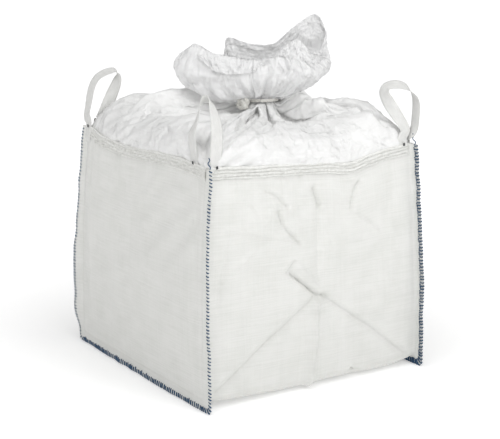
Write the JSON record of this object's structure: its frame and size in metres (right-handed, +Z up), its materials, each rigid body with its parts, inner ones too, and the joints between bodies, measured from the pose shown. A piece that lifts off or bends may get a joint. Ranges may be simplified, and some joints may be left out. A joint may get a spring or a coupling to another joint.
{
  "type": "bulk bag",
  "caption": "Square woven bulk bag with outward bound seam fins, corner lifting loops and a gathered top tied at the neck.",
  "frame": {"origin": "on the floor under the middle of the base", "axes": "+Z up, -Y out of the front wall, +X to the right seen from the front"},
  "size_m": [0.9598, 1.022, 1.3031],
  "materials": {
    "woven_fabric": "matt woven polypropylene tape fabric",
    "coated_fabric": "thin coated woven polypropylene with a sheen",
    "rim_tape": "folded hem tape, matt",
    "webbing": "woven polypropylene webbing",
    "binding_thread": "blue overlock thread",
    "white_thread": "white chain stitch",
    "black_thread": "black bar tack",
    "tie_cord": "beige twisted cord"
  },
  "bodies": {
    "bag": {"bar_tacks_back_left": "black_thread", "bar_tacks_back_right": "black_thread", "bar_tacks_front_left": "black_thread", "bar_tacks_front_right": "black_thread", "folded_panel": "woven_fabric", "loop_ends_back_left": "webbing", "loop_ends_back_right": "webbing", "loop_ends_front_left": "webbing", "loop_ends_front_right": "webbing", "neck_tie": "tie_cord", "rim_stitches_back": "white_thread", "rim_stitches_front": "white_thread", "rim_stitches_left": "white_thread", "rim_stitches_right": "white_thread", "rim_tape_back": "rim_tape", "rim_tape_front": "rim_tape", "rim_tape_left": "rim_tape", "rim_tape_right": "rim_tape", "seam_binding_left": "binding_thread", "seam_binding_right": "binding_thread", "seam_stitches_left": "white_thread", "seam_stitches_right": "white_thread", "side_panel_left": "woven_fabric", "side_panel_right": "woven_fabric", "skirt": "coated_fabric", "tie_knot": "tie_cord"},
    "loop_front_left": {"loop_front_left": "webbing"},
    "loop_front_right": {"loop_front_right": "webbing"},
    "loop_back_left": {"loop_back_left": "webbing"},
    "loop_back_right": {"loop_back_right": "webbing"},
    "duffle": {"duffle_end": "coated_fabric", "duffle_hem": "coated_fabric"}
  },
  "joints": [
    {"name": "loop_front_left_swing", "type": "hinge", "parent": "bag", "child": "loop_front_left", "pos_m": [-0.45587, -0.41837, 0.874], "axis": [0.2851, -0.9585, 0], "range_deg": [-46, 94], "stiffness_Nm_per_rad": 0.05},
    {"name": "loop_front_right_swing", "type": "hinge", "parent": "bag", "child": "loop_front_right", "pos_m": [0.45587, -0.41837, 0.874], "axis": [0.2851, 0.9585, 0], "range_deg": [-33, 107], "stiffness_Nm_per_rad": 0.05},
    {"name": "loop_back_left_swing", "type": "hinge", "parent": "bag", "child": "loop_back_left", "pos_m": [-0.45587, 0.41837, 0.874], "axis": [-0.2851, -0.9585, 0], "range_deg": [-24, 116], "stiffness_Nm_per_rad": 0.05},
    {"name": "loop_back_right_swing", "type": "hinge", "parent": "bag", "child": "loop_back_right", "pos_m": [0.45587, 0.41837, 0.874], "axis": [-0.2851, 0.9585, 0], "range_deg": [-38, 102], "stiffness_Nm_per_rad": 0.05},
    {"name": "duffle_flop", "type": "hinge", "parent": "bag", "child": "duffle", "pos_m": [0.049, -0.032, 1.018], "axis": [0.8387, -0.5446, 0], "range_deg": [-20, 20], "stiffness_Nm_per_rad": 1.5}
  ]
}
